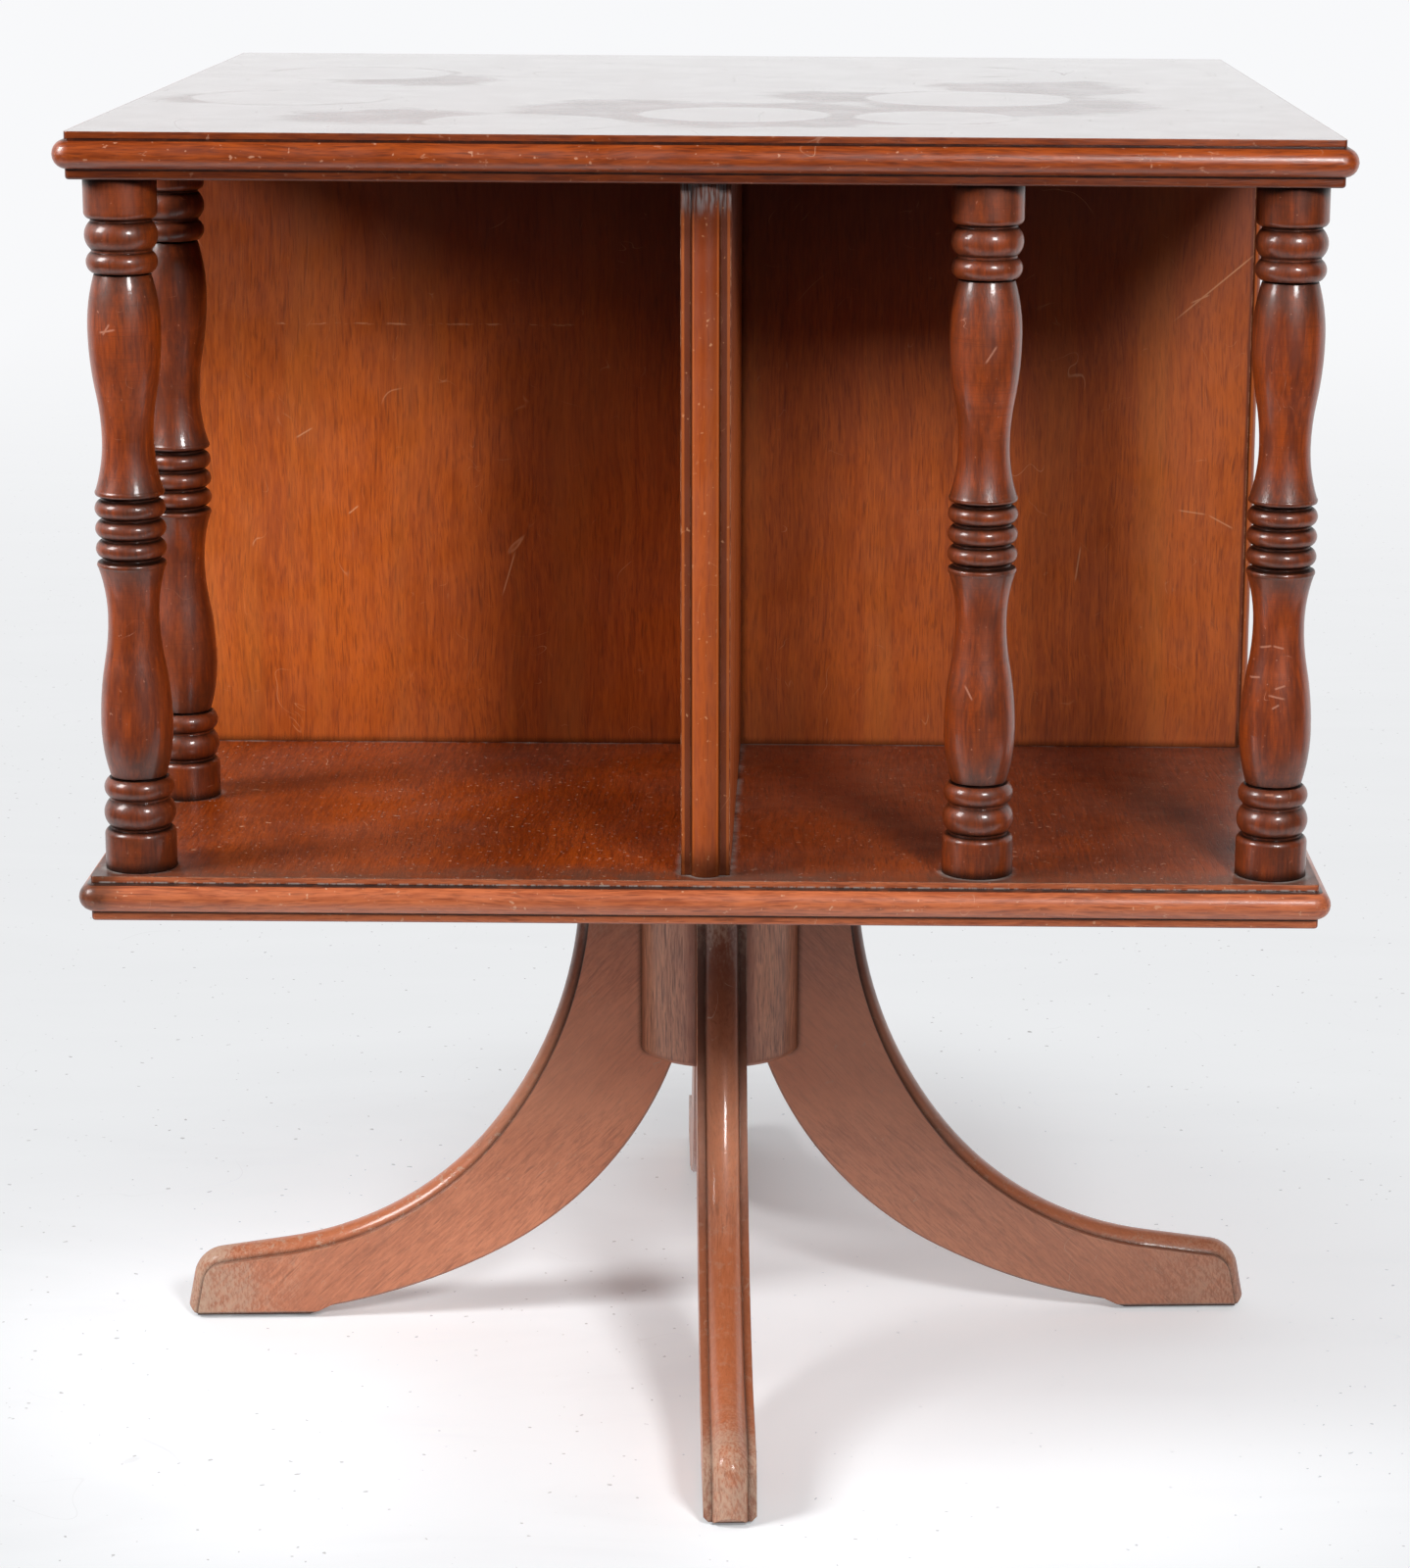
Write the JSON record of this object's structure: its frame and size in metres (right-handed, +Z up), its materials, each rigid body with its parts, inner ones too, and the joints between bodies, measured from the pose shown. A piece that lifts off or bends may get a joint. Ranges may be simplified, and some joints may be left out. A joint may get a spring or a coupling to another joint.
{
  "type": "revolving atlas stand",
  "caption": "Low revolving stand for large books: a square case of open bays with moulded boards and turned spindles, turning on a column with sabre legs.",
  "frame": {"origin": "on the floor, at the centre of the footprint, below the pivot", "axes": "+Z up along the pivot, +X towards the right side and -Y towards the front of the case at rest"},
  "size_m": [0.61, 0.61, 0.6968],
  "materials": {
    "case_wood": "satin lacquered mahogany",
    "spindle_wood": "glossy lacquered mahogany, darker in the grooves",
    "base_wood": "satin lacquered mahogany, worn at the toes",
    "dowel_wood": "raw beech",
    "glide_nylon": "matt",
    "steel": "zinc plated",
    "bush_brass": "machined",
    "ring_fibre": "hard fibre, waxed"
  },
  "bodies": {
    "base": {"column": "base_wood", "leg_right": "base_wood", "leg_rear": "base_wood", "leg_left": "base_wood", "leg_front": "base_wood", "leg_dowels": "dowel_wood", "glides_right": "glide_nylon", "glides_rear": "glide_nylon", "glides_left": "glide_nylon", "glides_front": "glide_nylon", "lower_plate": "steel", "lower_plate_screws": "steel", "thrust_ring": "ring_fibre", "pivot_pin": "steel"},
    "case": {"top_board": "case_wood", "bottom_board": "case_wood", "centre_panel": "case_wood", "front_divider": "case_wood", "rear_divider": "case_wood", "corner_spindle_front_right": "spindle_wood", "corner_spindle_rear_right": "spindle_wood", "corner_spindle_rear_left": "spindle_wood", "corner_spindle_front_left": "spindle_wood", "middle_spindle_front": "spindle_wood", "middle_spindle_right": "spindle_wood", "middle_spindle_rear": "spindle_wood", "middle_spindle_left": "spindle_wood", "lower_board_dowels": "dowel_wood", "upper_board_dowels": "dowel_wood", "cross_dowels": "dowel_wood", "upper_plate": "steel", "upper_plate_screws": "steel", "pivot_bush": "bush_brass"}
  },
  "joints": [
    {"name": "case_revolve", "type": "hinge", "parent": "base", "child": "case", "pos_m": [0, 0, 0.3124], "axis": [0, 0, 1], "continuous": true}
  ]
}
